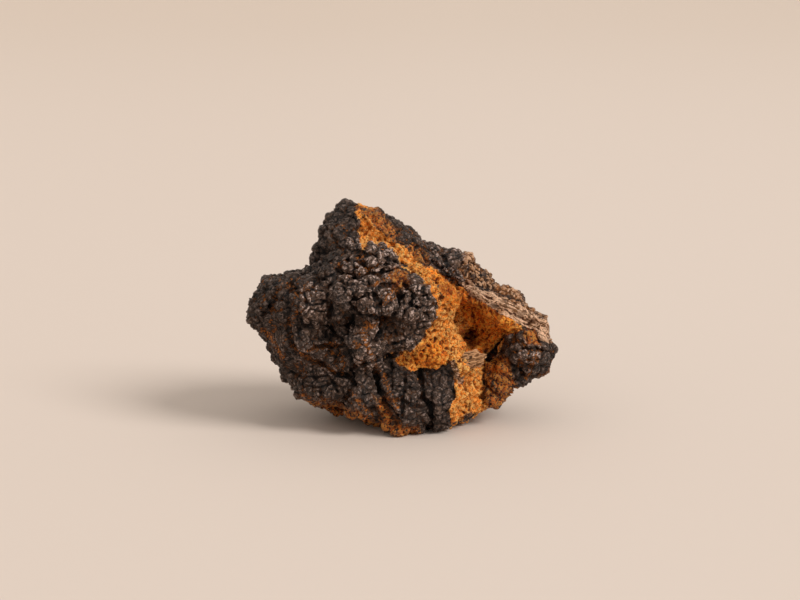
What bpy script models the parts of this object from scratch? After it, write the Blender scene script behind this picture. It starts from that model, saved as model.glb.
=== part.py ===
"""A broken lump of chaga, the black fungus that grows on birch.

The lump is one piece. It is a cluster of rounded lobes grown into one body,
broken open on its front right side, and it rests on a small flat foot.
Metres, +Z up. X runs along the lump's length and -Y faces the front.
The origin is on the ground under the middle of the lump's box.
"""

import math

import bmesh
import bpy
from mathutils import Euler, Matrix, Vector

MM = 0.001

# Driving dimensions
VOXEL = 1.5 * MM
LOBULE_SIZE = 10 * MM
LOBULE_HEIGHT = 4.0 * MM
KNOB_SIZE = 5 * MM
KNOB_HEIGHT = 1.6 * MM
FINAL_TRIANGLES = 9200
FOOT_BLOCK = (160 * MM, 160 * MM, 40 * MM)

# Lobes: name, centre (x, y, z), half-axes (x, y, z) in millimetres, and lean in
# degrees, which turns the lobe about Y so that a positive lean lowers its right end.
LOBES = [
    ("core_left", (-14, 3, 33), (31, 20, 25), 0),
    ("core_right", (22, 14, 30), (21, 15, 18), 12),
    ("left_end", (-43.8, 1, 42), (12, 16, 11.8), 0),
    ("left_shoulder", (-34, 2, 45.8), (12, 15, 9.2), -18),
    ("left_flank", (-41.8, 0, 30), (8, 15, 11.5), -24),
    ("left_low", (-34, 0, 18), (7.5, 13, 8), 0),
    ("front_left", (-32, -9, 46), (12.5, 14, 11.5), 0),
    ("front_left_low", (-33, -9, 32), (11.5, 13, 8), 0),
    ("lower_left_block", (-27.5, -5, 16), (13.5, 15, 9.2), 12),
    ("under_left", (-23, 5, 8.5), (9, 11, 6), 8),
    ("mid_left", (-25, -9, 24), (12, 12, 8), 15),
    ("fold_band", (-25, -7, 56), (12, 12, 6), -20),
    ("brow", (-8, -7, 60.5), (13, 11, 6), 18),
    ("brow_left", (-16, -12, 58), (7, 8, 5), 0),
    ("crown", (-10, -15, 48.5), (11.5, 12, 10.5), 0),
    ("crown_left", (-21, -14, 50), (7.5, 9, 7.5), 0),
    ("cheek", (5, -12, 47), (11.5, 12, 11.5), 0),
    ("centre_block", (-13, -14, 32.5), (9.5, 12, 12), 0),
    ("under_cheek", (1, -10, 34), (11, 10, 11), 0),
    ("foot_left", (-14, -10, 15), (10, 13, 11.5), 0),
    ("foot_centre", (1, -12, 11.5), (10.5, 13, 13.2), 0),
    ("foot_right", (12.5, -10, 12), (9.5, 13, 13.4), 0),
    ("under_front", (-8, -4, 7), (12, 13, 6), 0),
    ("peak", (-21.6, 6, 65.5), (9.4, 12, 11), 0),
    ("peak_top", (-15.5, 9, 73.6), (8, 9, 5.6), 10),
    ("peak_left", (-26.5, 6, 59), (6, 11, 9), 15),
    ("peak_shoulder", (-9, 14, 60), (14, 10, 11.5), 32),
    ("ridge_high", (-4.5, 18, 66), (9.5, 8, 6.3), 37),
    ("ridge_low", (7, 17, 58), (11, 8, 5.5), 36),
    ("saddle", (6, 12, 49), (15, 12, 10), 28),
    ("block_top", (19.5, 14, 54.4), (9, 9, 6), 18),
    ("block_slope", (28.5, 13, 48.8), (12, 9, 5.5), 38),
    ("block_right", (38.5, 10, 41.6), (10, 9, 5.4), 38),
    ("ledge", (34, 3, 40.5), (19, 8, 3), 28),
    ("ledge_end", (47.6, 3, 33.4), (6.2, 9, 5), 35),
    ("pillar", (16.5, -4, 36), (6.5, 10, 17), -19),
    ("slope", (10, -9, 28), (9, 9.5, 8), -15),
    ("slope_low", (19, -9, 24), (6, 9, 7), 0),
    ("right_lobe", (45, 2, 25.8), (9.8, 12, 10), 8),
    ("right_low", (35.8, 2, 16.4), (9.4, 11, 6.6), -28),
    ("under_right", (30, 2, 11), (9.4, 12, 7.8), -22),
    ("column", (22, -4, 13.5), (7, 11, 11.5), 0),
    ("chip", (25, -8, 27), (4.6, 7, 2.6), -12),
    ("back_right", (26, 20, 26), (21, 13, 17), 5),
    ("back_left", (-31, 16, 33), (16, 13, 18), 0),
    ("back_centre", (-6, 22, 38), (19, 11, 20), 0),
    ("back_foot_left", (-15, 14, 11.5), (13, 13, 13), 0),
    ("back_foot_mid", (0, 17, 13.5), (12, 14, 13.5), 0),
    ("back_foot_right", (15, 15, 11.5), (13, 14, 13), 0),
    ("back_peak", (-18, 16, 57), (12, 10, 11), 0),
    ("back_knob_a", (-36, 22, 42), (9, 8, 9), 0),
    ("back_knob_b", (-21, 26, 47), (9, 8, 8), 0),
    ("back_knob_c", (-4, 27, 51), (9, 8, 8), 0),
    ("back_knob_d", (11, 26, 45), (9, 8, 9), 0),
    ("back_knob_e", (27, 26, 38), (9, 8, 8), 0),
    ("back_knob_f", (-13, 29, 33), (10, 7, 9), 0),
    ("back_knob_g", (5, 29, 27), (9, 7, 9), 0),
    ("back_knob_h", (-30, 24, 26), (9, 8, 9), 0),
    ("back_knob_i", (36, 23, 24), (9, 8, 8), 0),
    ("back_knob_j", (20, 28, 20), (9, 7, 8), 0),
    ("back_knob_k", (-20, 25, 14), (8, 7, 8), 0),
]

# Hollows broken out of the lump, given in the same way as the lobes.
HOLLOWS = [
    ("bowl", (27.5, -6, 37), (13, 14, 6.5), 30),
    ("bowl_low", (29, -7, 30.5), (8.5, 18, 6.5), 15),
    ("bowl_pocket", (25.5, 3, 29.5), (6, 10, 5), 10),
    ("bowl_mouth", (23, -19, 36), (9, 9, 9), 35),
    ("rim_crevice", (33.5, -10, 25), (2.2, 11, 9), 38),
    ("column_crevice", (29.5, -11, 13), (1.6, 9, 10), 3),
]

CRUST_COLOUR = (0.035, 0.026, 0.021, 1.0)
CRUST_ROUGHNESS = 0.8


def clear_scene():
    for found in list(bpy.data.objects):
        bpy.data.objects.remove(found)


def new_collection(name):
    made = bpy.data.collections.new(name)
    bpy.context.scene.collection.children.link(made)
    return made


def new_object(name, shape, collection):
    """Makes an object of a bmesh, which it frees."""
    mesh = bpy.data.meshes.new(name)
    shape.to_mesh(mesh)
    shape.free()
    made = bpy.data.objects.new(name, mesh)
    collection.objects.link(made)
    return made


def ellipsoids(name, rows, collection):
    """Makes one object of the rows' ellipsoids, icospheres stretched to their half-axes."""
    shape = bmesh.new()
    for _, centre, half_axes, lean in rows:
        place = Matrix.Translation(Vector(centre) * MM)
        turn = Euler((0.0, math.radians(lean), 0.0)).to_matrix().to_4x4()
        stretch = Matrix.Diagonal((*(Vector(half_axes) * MM), 1.0))
        bmesh.ops.create_icosphere(shape, subdivisions=4, radius=1.0, matrix=place @ turn @ stretch)
    return new_object(name, shape, collection)


def foot_block(collection):
    """Makes the block whose top face is the ground."""
    shape = bmesh.new()
    drop = Matrix.Translation((0.0, 0.0, -FOOT_BLOCK[2] / 2))
    bmesh.ops.create_cube(shape, size=1.0, matrix=drop @ Matrix.Diagonal((*FOOT_BLOCK, 1.0)))
    return new_object("ground_block", shape, collection)


def add_remesh(target, name, voxel):
    remesh = target.modifiers.new(name, "REMESH")
    remesh.mode = "VOXEL"
    remesh.voxel_size = voxel


def add_smooth(target, name, repeats):
    smooth = target.modifiers.new(name, "SMOOTH")
    smooth.iterations = repeats


def add_lobules(target, name, size, height):
    """Raises a rounded bump over each cell of a Voronoi pattern."""
    texture = bpy.data.textures.new(name, "VORONOI")
    texture.noise_scale = size
    displace = target.modifiers.new(name, "DISPLACE")
    displace.texture = texture
    displace.texture_coords = "LOCAL"
    displace.strength = -height


def add_cut(target, name, cutter):
    cutter.hide_render = True
    cutter.display_type = "WIRE"
    cut = target.modifiers.new(name, "BOOLEAN")
    cut.operation = "DIFFERENCE"
    cut.solver = "EXACT"
    cut.object = cutter


def triangle_count(mesh):
    return sum(len(face.vertices) - 2 for face in mesh.polygons)


def evaluated_mesh(target):
    bpy.context.view_layer.update()
    return target.evaluated_get(bpy.context.evaluated_depsgraph_get()).data


def add_decimate(target, name, triangles):
    ratio = triangles / triangle_count(evaluated_mesh(target))
    target.modifiers.new(name, "DECIMATE").ratio = ratio


def box_bottom_centre(target):
    corners = [vertex.co for vertex in evaluated_mesh(target).vertices]
    low = Vector(min(corner[axis] for corner in corners) for axis in range(3))
    high = Vector(max(corner[axis] for corner in corners) for axis in range(3))
    return Vector(((low.x + high.x) / 2, (low.y + high.y) / 2, low.z))


def crust_material():
    material = bpy.data.materials.new("crust")
    material.use_nodes = True
    principled = material.node_tree.nodes["Principled BSDF"]
    principled.inputs["Base Color"].default_value = CRUST_COLOUR
    principled.inputs["Roughness"].default_value = CRUST_ROUGHNESS
    return material


def main():
    clear_scene()
    lump_collection = new_collection("chaga_lump")
    cutter_collection = new_collection("cutters")

    hollows = ellipsoids("broken_hollows", HOLLOWS, cutter_collection)
    add_remesh(hollows, "hollows_joined", VOXEL)
    ground = foot_block(cutter_collection)

    lump = ellipsoids("chaga_lump", LOBES, lump_collection)
    lump.data.materials.append(crust_material())
    add_remesh(lump, "grown_together", VOXEL)
    add_smooth(lump, "softened", 2)
    add_lobules(lump, "lobules", LOBULE_SIZE, LOBULE_HEIGHT)
    add_lobules(lump, "knobs", KNOB_SIZE, KNOB_HEIGHT)
    add_cut(lump, "broken_open", hollows)
    add_remesh(lump, "healed", VOXEL)
    add_smooth(lump, "worn", 1)
    add_decimate(lump, "lightened", FINAL_TRIANGLES)
    add_cut(lump, "flat_foot", ground)

    shift = -box_bottom_centre(lump)
    for moved in (lump, hollows, ground):
        moved.location = shift


main()
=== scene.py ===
"""Builds a broken lump of chaga: a black cracked crust round a rust-orange cork.

The lump's skin is sculpted over the solid it replaces. Cracks, folds and zones that
face the front are drawn in the picture plane of the front camera, in pixels of a
picture 800 wide and 600 high, and the rest of the skin is carved by cell patterns.
Metres, +Z up, -Y to the front.
"""

import itertools
import math

import bmesh
import bpy
import numpy as np
from mathutils import Matrix, Vector
from mathutils.bvhtree import BVHTree


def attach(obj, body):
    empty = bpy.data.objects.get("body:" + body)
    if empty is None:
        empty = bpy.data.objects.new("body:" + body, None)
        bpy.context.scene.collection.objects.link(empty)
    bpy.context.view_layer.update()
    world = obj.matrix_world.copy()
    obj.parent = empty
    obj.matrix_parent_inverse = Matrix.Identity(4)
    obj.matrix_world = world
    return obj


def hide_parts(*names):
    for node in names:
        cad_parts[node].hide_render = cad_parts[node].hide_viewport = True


bl_info = {
    "name": "Chaga Lump",
    "version": (1, 0, 0),
    "blender": (4, 5, 0),
    "location": "3D View > Sidebar > Chaga",
    "description": "Builds a broken lump of chaga with a cracked crust and an orange cork",
    "category": "Add Mesh",
}

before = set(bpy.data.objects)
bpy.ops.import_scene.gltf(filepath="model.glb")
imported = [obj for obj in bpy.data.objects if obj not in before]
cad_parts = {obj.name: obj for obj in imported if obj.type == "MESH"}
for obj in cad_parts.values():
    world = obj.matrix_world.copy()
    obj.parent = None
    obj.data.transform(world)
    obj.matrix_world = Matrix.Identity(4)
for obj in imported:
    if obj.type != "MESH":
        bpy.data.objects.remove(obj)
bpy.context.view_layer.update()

MM = 0.001
NODE = "chaga_lump"
BODY = "root"

# Front camera
PICTURE_WIDTH = 800
PICTURE_HEIGHT = 600
LENS = 85.0
SENSOR = 36.0
CAMERA_ELEVATION = math.radians(12.0)
CAMERA_DISTANCE = 0.6724
CAMERA_TARGET = Vector((-1.083, -4.312, 44.7)) * MM

# A point this far behind the nearest one in its square of pixels is hidden, or far behind,
# and a hidden one counts as barely facing the camera.
DEPTH_CELL = 2
JUST_BEHIND = 3.5 * MM
FAR_BEHIND = 22 * MM
BARELY_FACING = 0.05

# Floor and lights: a flat disc that bends up into a low wall, a pale sky and one soft light.
FLOOR_RADIUS = 4.0
FLOOR_SEGMENTS = 96
CENTRE_RADIUS = FLOOR_RADIUS - 0.1
BEND_RADIUS = 1.0
BEND_STEPS = 24
BACKDROP_HEIGHT = 1.6
SKY_COLOUR = (1.0, 0.955, 0.90, 1.0)
SKY_STRENGTH = 0.72
KEY_PLACE = (2.1, -1.1, 1.85)
KEY_ENERGY = 2.34
KEY_SPREAD = math.radians(25.0)
KEY_COLOUR = (1.0, 0.975, 0.95)

# Steps of the sculpting: how close points are merged, the faces' sides before the finest
# ones, the softening between them, and how many edges the cork reaches round its rims.
MERGE_DISTANCE = 0.01 * MM
ROUGH_DETAIL = 0.8 * MM
BLOCK_DETAIL = 0.5 * MM
SOFTENING = 6
CORK_REACH = 14

# Sizes of what is carved over the whole skin, besides the settings.
BLOCK_SIZE = 12 * MM
BLOCK_DEPTH = 2.6 * MM
LIP_HEIGHT = 1.5 * MM
CORK_SINK = 0.8 * MM
CORK_ROUGHNESS = 1.15 * MM
CORK_GRAIN = 1.5 * MM
CRACK_SINK = 0.5 * MM

# How far, in cell sizes, a pattern's centres stray across their cells.
CENTRE_SCATTER = 0.95

# Names of the finishes, of the painted light and shade, and of the reliefs that are stored
# on the skin and read by its material, and for each relief the edges it is averaged over
# and the height that fills its range.
FINISHES_AND_PAINTED_LIGHT = ("cork", "golden", "wood", "brown", "slope", "worn", "shaded", "rust")
RELIEFS = {"knob": (5, 0.3 * MM), "fold": (20, 1.0 * MM), "block": (60, 2.0 * MM)}
CHIP_RELIEF = (5, 0.15 * MM)

# How far the ledge falls to the right.
LEDGE_LEAN = math.radians(27.0)

# The loose chip: where it is seen, how far it leans and tips, how it is moved off the
# skin in millimetres, how boxy it is, and how rough and frayed.
CHIP_PIXEL = (471, 361)
CHIP_LEAN = math.radians(14.0)
CHIP_TIP = math.radians(14.0)
CHIP_SHIFT = (0.0, -0.3, 0.6)
CHIP_SUBDIVISIONS = 6
CHIP_POWER = 0.65
CHIP_ROUGHNESS = 1.1 * MM
CHIP_FRAY = 0.9 * MM

# Scales of the materials' patterns, in waves or cells to a metre, and how far the cells
# are pushed about.
NOISE_SCALES = {"fine": 1500, "medium": 360, "broad": 120}
CELL_SCALE = 850
SMALL_CELL_SCALE = 1700
STIR_SCALE = 500
STIR_REACH = 1.2 * MM
LEDGE_STRAND_SCALE = 1100
CHIP_STRAND_SCALE = 1300

# Tints that multiply a colour. The deep, shaded, back and left ones are painted shade.
BURNT_TINT = (0.5, 0.24, 0.06, 1.0)
GOLDEN_TINT = (1.0, 0.82, 0.42, 1.0)
BROWN_TINT = (0.58, 0.45, 0.3, 1.0)
DEEP_SHADE_TINT = (0.3, 0.25, 0.22, 1.0)
SHADED_TINT = (0.42, 0.3, 0.2, 1.0)
NO_TINT = (1.0, 1.0, 1.0, 1.0)
BACK_SHADE_TINT = (0.93, 0.915, 0.885, 1.0)
LEFT_SHADE_TINT = (0.985, 0.98, 0.975, 1.0)

HALVES = (0.5, 0.5, 0.5)

# Cracks drawn in the picture plane: points, half-width in pixels and depth in millimetres.
CRACKS = [
    ([(331, 286), (332, 300), (330, 314), (327, 327), (326, 336)], 1.6, 1.5),
    ([(331, 326), (336, 333), (343, 340), (346, 345)], 1.4, 1.2),
    ([(352, 315), (350, 330), (346, 340), (348, 350), (352, 367)], 1.9, 2.0),
    ([(352, 367), (353, 385), (346, 398), (340, 408)], 1.9, 1.9),
    ([(352, 371), (362, 368), (368, 363), (383, 359), (392, 357)], 1.8, 1.9),
    ([(385, 359), (387, 345), (402, 344)], 0.8, 0.6),
    ([(376, 340), (382, 330), (386, 322), (393, 316), (398, 311), (400, 300), (399, 290)], 1.9, 2.0),
    (
        [
            (344, 288), (348, 296), (352, 305), (358, 313), (372, 316), (380, 320), (388, 319),
            (393, 315),
        ],
        1.9,
        2.0,
    ),
    ([(337, 270), (345, 272), (352, 276), (360, 278), (365, 274), (380, 273), (398, 268)], 1.8, 1.8),
    ([(300, 315), (303, 327), (312, 325), (320, 323), (327, 327)], 1.2, 1.1),
    ([(310, 304), (318, 304), (324, 301), (331, 303)], 0.8, 0.6),
    ([(317, 280), (326, 278), (334, 272)], 1.2, 0.9),
    ([(290, 293), (303, 292), (312, 288), (317, 280)], 0.9, 0.8),
    ([(303, 292), (308, 304), (300, 315), (290, 322)], 0.9, 0.7),
    ([(288, 322), (288, 335), (290, 343), (295, 352)], 1.9, 1.8),
    ([(259, 323), (267, 308), (277, 297), (290, 283), (297, 278), (310, 268)], 1.5, 1.3),
    ([(280, 303), (290, 290), (297, 283)], 1.3, 1.0),
    ([(262, 288), (270, 289), (281, 281)], 1.2, 0.9),
    ([(290, 353), (303, 357), (318, 363), (331, 370), (338, 375), (350, 376)], 1.6, 1.5),
    ([(310, 351), (325, 345), (333, 347), (346, 345)], 1.4, 1.1),
    ([(303, 387), (320, 387), (331, 384)], 0.9, 0.7),
    ([(320, 388), (321, 399)], 0.9, 0.7),
    ([(303, 377), (315, 377), (330, 375), (338, 392)], 0.9, 0.7),
    ([(292, 372), (303, 377), (303, 396)], 0.9, 0.6),
    ([(376, 372), (378, 382), (380, 392), (384, 402), (390, 412), (396, 422)], 2.1, 2.3),
    ([(405, 387), (417, 389)], 1.0, 0.8),
    ([(403, 400), (412, 406), (420, 407), (430, 405)], 1.1, 0.9),
    ([(405, 372), (405, 387), (403, 400), (402, 418)], 1.1, 0.8),
    ([(390, 385), (405, 387)], 0.9, 0.6),
    ([(388, 400), (403, 400)], 0.9, 0.6),
    ([(420, 369), (422, 383), (423, 397), (430, 405), (432, 420), (430, 428)], 1.9, 2.0),
    ([(487, 350), (485, 360), (484, 380), (484, 400)], 1.8, 2.0),
    ([(505, 335), (497, 347), (487, 360)], 2.0, 1.8),
    ([(441, 255), (452, 268), (466, 282)], 1.3, 0.7),
    ([(432, 262), (446, 274), (458, 284)], 1.2, 0.6),
    ([(320, 262), (332, 258), (345, 252)], 1.6, 1.3),
    ([(347, 258), (354, 268), (352, 276)], 1.4, 1.1),
    ([(355, 250), (370, 256), (385, 258), (400, 262)], 1.3, 1.0),
    ([(356, 262), (372, 266), (388, 264)], 1.1, 0.8),
    ([(368, 280), (372, 292), (380, 302), (378, 318)], 1.4, 1.1),
    ([(352, 300), (362, 296), (372, 292), (384, 284), (396, 284)], 1.3, 1.0),
    ([(404, 282), (412, 294), (410, 306), (402, 312)], 1.3, 1.0),
    ([(412, 294), (424, 296), (434, 292)], 1.2, 0.9),
    ([(410, 306), (420, 308), (428, 316), (430, 322)], 1.2, 0.9),
    ([(516, 338), (522, 350), (518, 364), (524, 376)], 1.4, 1.2),
    ([(522, 350), (536, 348), (550, 352)], 1.3, 1.0),
    ([(518, 364), (534, 368), (546, 364)], 1.2, 0.9),
]

# Veins of rust drawn in the picture plane.
RUST_VEINS = [
    [(279, 288), (290, 283)],
    [(290, 324), (294, 315), (301, 310)],
    [(308, 351), (320, 347), (334, 345)],
    [(284, 342), (294, 347), (300, 355), (310, 361), (322, 366), (335, 371)],
    [(362, 331), (372, 326), (387, 320)],
    [(364, 336), (368, 348), (374, 358), (378, 372)],
    [(346, 275), (358, 273), (372, 270)],
    [(378, 283), (388, 277), (400, 272)],
    [(384, 302), (391, 297), (398, 291)],
    [(352, 392), (360, 404), (372, 416)],
    [(384, 376), (388, 392), (396, 408)],
    [(300, 396), (316, 402), (332, 404)],
    [(266, 332), (274, 346), (280, 360)],
    [(516, 340), (522, 352), (519, 366)],
    [(540, 350), (534, 364), (526, 378)],
]

# Finishes, and places of painted light and shade, drawn in the picture plane, as outlines.
CORK_ZONES = [
    [
        (361, 219), (366, 215), (371, 220), (374, 228), (380, 232), (387, 236), (394, 242),
        (402, 248), (408, 254), (416, 259), (422, 265), (427, 272), (433, 280), (438, 287),
        (442, 294), (446, 300), (452, 305), (458, 312), (463, 320), (463, 330), (461, 340),
        (463, 350), (458, 356), (452, 357), (447, 362), (440, 366), (432, 369), (420, 369),
        (408, 369), (396, 366), (392, 361), (400, 356), (412, 352), (420, 347), (423, 338),
        (425, 330), (432, 322), (438, 317), (440, 306), (436, 298), (430, 290), (424, 283),
        (417, 275), (410, 270), (404, 262), (398, 257), (391, 253), (388, 247), (381, 242),
        (370, 243), (366, 250), (360, 251), (359, 240), (360, 228),
    ],
    [
        (450, 354), (460, 350), (472, 346), (486, 348), (488, 362), (486, 372), (485, 390),
        (484, 404), (481, 412), (474, 414), (466, 414), (461, 421), (452, 424), (448, 416),
        (452, 406), (457, 400), (456, 385), (454, 372), (451, 362),
    ],
    [(356, 208), (360, 207), (361, 217), (357, 217)],
]
GOLDEN_ZONES = [
    [
        (441, 288), (452, 286), (465, 288), (475, 295), (487, 300), (497, 307), (506, 314),
        (516, 320), (522, 328), (512, 335), (503, 339), (496, 345), (489, 353), (482, 358),
        (474, 353), (463, 352), (461, 335), (462, 320), (455, 308), (446, 300),
    ],
    [(423, 267), (436, 268), (446, 278), (456, 288), (446, 292), (438, 286), (430, 277)],
    [(420, 340), (446, 338), (446, 362), (434, 368), (402, 367), (396, 362), (410, 356)],
]
BROWN_ZONES = [
    [
        (357, 205), (372, 203), (377, 213), (390, 222), (400, 234), (394, 242), (384, 235),
        (374, 226), (360, 216),
    ],
    [(403, 246), (415, 246), (424, 254), (426, 266), (416, 260), (408, 254)],
    [(485, 388), (508, 388), (512, 400), (500, 410), (484, 412), (474, 416), (466, 416), (476, 402)],
    [(524, 324), (537, 325), (540, 345), (526, 342)],
    [(394, 268), (408, 270), (410, 284), (402, 290), (392, 284)],
    [
        (486, 358), (497, 350), (506, 360), (514, 376), (520, 392), (508, 402), (490, 410),
        (484, 402), (484, 375),
    ],
    [(376, 398), (386, 398), (392, 408), (398, 422), (386, 424)],
    [(528, 392), (535, 379), (543, 371), (553, 360), (554, 374), (541, 390)],
    [
        (290, 394), (312, 402), (340, 404), (356, 412), (380, 422), (400, 426), (420, 428),
        (420, 436), (370, 430), (290, 414),
    ],
]
WOOD_ZONES = [
    [
        (460, 281), (470, 283), (480, 288), (490, 292), (502, 296), (514, 301), (524, 307),
        (536, 313), (548, 320), (552, 330), (549, 342), (542, 340), (537, 331), (528, 327),
        (518, 323), (508, 319), (499, 314), (488, 304), (478, 298), (468, 292),
    ],
    [(451, 358), (455, 358), (460, 370), (464, 384), (460, 384), (454, 371)],
]
# Painted shade: under the ledge and in the deep hole below it, where the skin is darkened.
SHADED_ZONES = [
    [
        (440, 286), (452, 285), (474, 294), (492, 302), (508, 313), (500, 317), (480, 309),
        (462, 302), (446, 297),
    ],
    [(461, 326), (474, 328), (481, 342), (474, 353), (463, 350)],
]
SLOPE_ZONES = [
    [
        (463, 250), (474, 252), (487, 264), (501, 275), (516, 282), (530, 296), (556, 320),
        (552, 345), (545, 338), (530, 310), (514, 303), (502, 298), (490, 294), (478, 289),
        (466, 284), (464, 266),
    ],
]
# Painted light: places in front that the light falls on, on the brow, the crown, the cheek, the blocks and
# the right lobe, where the crust is painted lighter; elsewhere in front it is painted darker.
PAINTED_LIGHT_ZONES = [
    [(345, 240), (372, 236), (400, 254), (404, 275), (380, 281), (345, 277)],
    [(338, 270), (400, 270), (402, 308), (380, 316), (352, 306), (338, 290)],
    [(400, 272), (434, 284), (440, 314), (422, 332), (398, 318)],
    [(428, 246), (468, 248), (478, 286), (446, 285), (428, 268)],
    [(298, 284), (332, 280), (334, 326), (300, 322)],
    [(352, 324), (384, 322), (386, 370), (352, 372)],
    [(384, 330), (426, 322), (426, 350), (390, 358)],
    [(518, 338), (542, 338), (544, 354), (526, 372), (516, 360)],
]
RUSTY_ZONES = [
    [(500, 335), (555, 330), (558, 372), (520, 392), (500, 380)],
    [(388, 262), (412, 268), (412, 292), (396, 292), (384, 276)],
    [(290, 336), (350, 344), (352, 378), (300, 372), (282, 350)],
    [(352, 322), (386, 322), (384, 350), (356, 368)],
    [(358, 262), (380, 262), (384, 282), (358, 284)],
    [(368, 392), (398, 394), (412, 430), (376, 430)],
    [(254, 318), (290, 330), (292, 372), (262, 350)],
    [(286, 386), (350, 398), (352, 416), (290, 408)],
    [(270, 268), (292, 272), (300, 290), (278, 296)],
    [(396, 232), (428, 246), (432, 268), (410, 262)],
]

# Places drawn in the picture plane that are built up, with the height in millimetres.
FILLED_ZONES = [
    (GOLDEN_ZONES[0], 2.5),
    ([(434, 258), (450, 260), (468, 278), (464, 292), (448, 288), (436, 272)], 2.5),
    ([(333, 288), (352, 290), (353, 346), (336, 348)], 3.2),
]

# The ledge's raised lip, drawn in the picture plane.
LIP_ZONE = [
    (462, 281), (470, 283), (480, 288), (490, 292), (502, 296), (514, 301), (524, 306),
    (536, 312), (548, 318), (545, 325), (528, 321), (518, 316), (508, 312), (499, 308),
    (488, 300), (478, 295), (468, 290),
]

# Layered places drawn in the picture plane: outline, direction of the layers in degrees
# below the horizontal, spacing in pixels and height in millimetres.
LAYERS = [
    ([(350, 244), (372, 240), (392, 246), (402, 258), (402, 272), (376, 276), (350, 274)], 8, 6.5, 0.75),
    ([(431, 256), (446, 258), (470, 284), (462, 292), (446, 280), (432, 266)], 42, 5.0, 0.6),
    ([(384, 216), (430, 244), (440, 262), (450, 282), (430, 268), (400, 240)], 40, 5.0, 0.5),
    ([(458, 281), (512, 301), (550, 323), (545, 340), (520, 318), (486, 302), (464, 292)], 27, 3.0, 0.35),
    ([(456, 366), (484, 364), (484, 410), (456, 424)], 82, 4.0, 0.35),
    ([(458, 354), (484, 352), (474, 368), (460, 366)], 20, 3.5, 0.4),
]

# Parts with a flat crust split in plates, drawn in the picture plane.
PLATE_ZONES = [
    [(296, 284), (336, 278), (334, 336), (300, 332)],
    [(286, 352), (300, 326), (350, 336), (352, 410), (288, 405)],
    [(352, 320), (384, 322), (386, 366), (354, 368)],
    [(346, 366), (378, 368), (378, 410), (346, 414)],
    [(383, 345), (425, 315), (425, 350), (402, 360), (384, 360)],
    [(384, 372), (452, 366), (458, 398), (450, 428), (386, 426)],
    [(268, 318), (296, 322), (296, 356), (272, 348)],
]


class ChagaSettings(bpy.types.PropertyGroup):
    """Sizes and colours of the lump."""

    skin_detail: bpy.props.FloatProperty(
        name="Skin detail",
        description="Side of the smallest faces that the skin is carved from",
        default=0.33 * MM,
        unit="LENGTH",
    )
    skin_triangles: bpy.props.IntProperty(
        name="Skin triangles",
        description="Triangles left in the finished skin",
        default=196000,
    )
    knob_size: bpy.props.FloatProperty(
        name="Knob size",
        description="Width of the knobs that cover the crust",
        default=4.0 * MM,
        unit="LENGTH",
    )
    knob_height: bpy.props.FloatProperty(
        name="Knob height",
        description="Height of the knobs that cover the crust",
        default=1.7 * MM,
        unit="LENGTH",
    )
    plate_size: bpy.props.FloatProperty(
        name="Plate size",
        description="Width of the plates that the flat crust is split in",
        default=4.4 * MM,
        unit="LENGTH",
    )
    chip_size: bpy.props.FloatVectorProperty(
        name="Chip size",
        description="Length, depth and height of the loose chip of fibres",
        subtype="XYZ",
        unit="LENGTH",
        default=(8.6 * MM, 5.4 * MM, 5.4 * MM),
    )
    grain_size: bpy.props.FloatProperty(
        name="Grain size",
        description="Width of the grains on the knobs",
        default=1.15 * MM,
        unit="LENGTH",
    )
    grain_height: bpy.props.FloatProperty(
        name="Grain height",
        description="Height of the grains on the knobs",
        default=0.4 * MM,
        unit="LENGTH",
    )
    # The crust's brown-black; at full strength on the knobs' tops it is a painted light.
    crust_colour: bpy.props.FloatVectorProperty(
        name="Crust",
        description="Colour of the crust's worn tops",
        subtype="COLOR",
        default=(0.135, 0.081, 0.056),
    )
    # Painted glints: the palest specks on the crust's raised folds.
    glint_colour: bpy.props.FloatVectorProperty(
        name="Glints",
        description="Colour of the palest specks on the crust",
        subtype="COLOR",
        default=(0.29, 0.218, 0.19),
    )
    # Painted shade: the near black between the crust's knobs and in its cracks.
    crevice_shade_colour: bpy.props.FloatVectorProperty(
        name="Crevices",
        description="Colour of the crust between its knobs",
        subtype="COLOR",
        default=(0.004, 0.0022, 0.0015),
    )
    umber_colour: bpy.props.FloatVectorProperty(
        name="Umber",
        description="Colour of the brown crust above the ledge",
        subtype="COLOR",
        default=(0.40, 0.165, 0.05),
    )
    rust_colour: bpy.props.FloatVectorProperty(
        name="Rust",
        description="Colour of the rusty crevices in the crust",
        subtype="COLOR",
        default=(0.50, 0.155, 0.02),
    )
    cork_colour: bpy.props.FloatVectorProperty(
        name="Cork",
        description="Colour of the broken inside",
        subtype="COLOR",
        default=(1.0, 0.30, 0.034),
    )
    # Partly the cork's pale grains, partly a painted highlight on its raised grains.
    pale_cork_colour: bpy.props.FloatVectorProperty(
        name="Pale cork",
        description="Colour of the cork's palest grains",
        subtype="COLOR",
        default=(1.0, 0.53, 0.145),
    )
    # The cork's dark pores and blotches, and painted shade in the low spots of the cork and the wood.
    pit_colour: bpy.props.FloatVectorProperty(
        name="Pits",
        description="Colour of the cork's pits",
        subtype="COLOR",
        default=(0.12, 0.028, 0.003),
    )
    wood_colour: bpy.props.FloatVectorProperty(
        name="Wood",
        description="Colour of the fibrous ledge",
        subtype="COLOR",
        default=(0.80, 0.50, 0.32),
    )
    chip_colour: bpy.props.FloatVectorProperty(
        name="Chip",
        description="Colour of the loose chip's palest fibres",
        subtype="COLOR",
        default=(0.52, 0.28, 0.135),
    )
    floor_colour: bpy.props.FloatVectorProperty(
        name="Floor",
        description="Colour of the floor and the backdrop",
        subtype="COLOR",
        default=(0.667, 0.575, 0.508),
    )


# Patterns: each is set apart from the others of its kind by its salt.

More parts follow.
